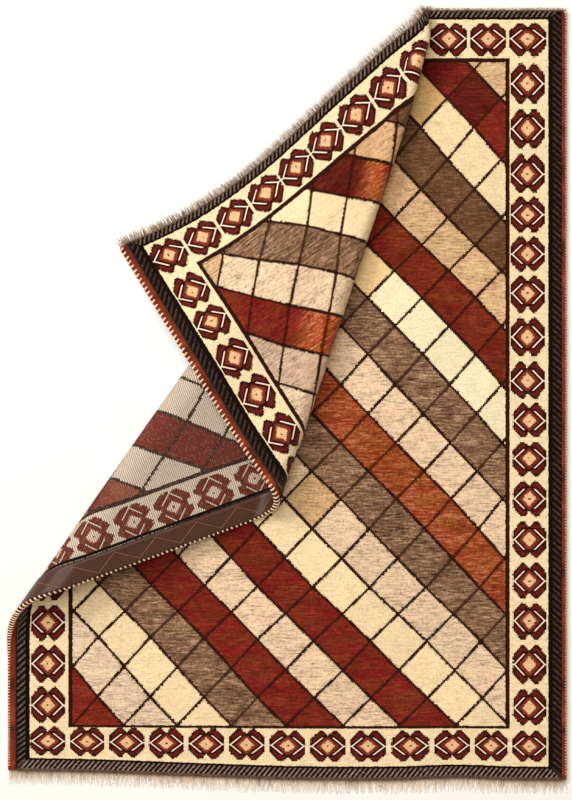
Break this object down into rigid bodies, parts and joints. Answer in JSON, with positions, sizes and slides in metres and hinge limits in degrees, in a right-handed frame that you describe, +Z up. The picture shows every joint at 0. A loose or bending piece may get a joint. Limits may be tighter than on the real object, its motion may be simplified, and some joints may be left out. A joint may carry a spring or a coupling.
{
  "type": "gabbeh rug",
  "caption": "Hand-knotted wool rug lying pile up with a corner folded back on itself to show its woven back, with leather side strips, overcast selvedges and fringed ends.",
  "frame": {"origin": "on the floor, under the middle of the rug's bounding box", "axes": "+Z up from the floor, +Y from the lower fringed end to the upper one, +X from the folded side to the plain side"},
  "size_m": [1.2212, 1.7286, 0.0953],
  "materials": {
    "wool_pile": "cut wool pile, matt",
    "overcast_wool": "wound wool yarn, matt",
    "brown_leather": "smooth, satin",
    "fringe_wool": "undyed wool yarn, matt"
  },
  "bodies": {
    "root": {"rug": "wool_pile", "selvedge_left": "overcast_wool", "selvedge_right": "overcast_wool", "leather_strip_left": "brown_leather", "leather_strip_right": "brown_leather", "fringe_bottom": "fringe_wool", "fringe_top_main": "fringe_wool", "fringe_top_flap": "fringe_wool"}
  },
  "joints": []
}
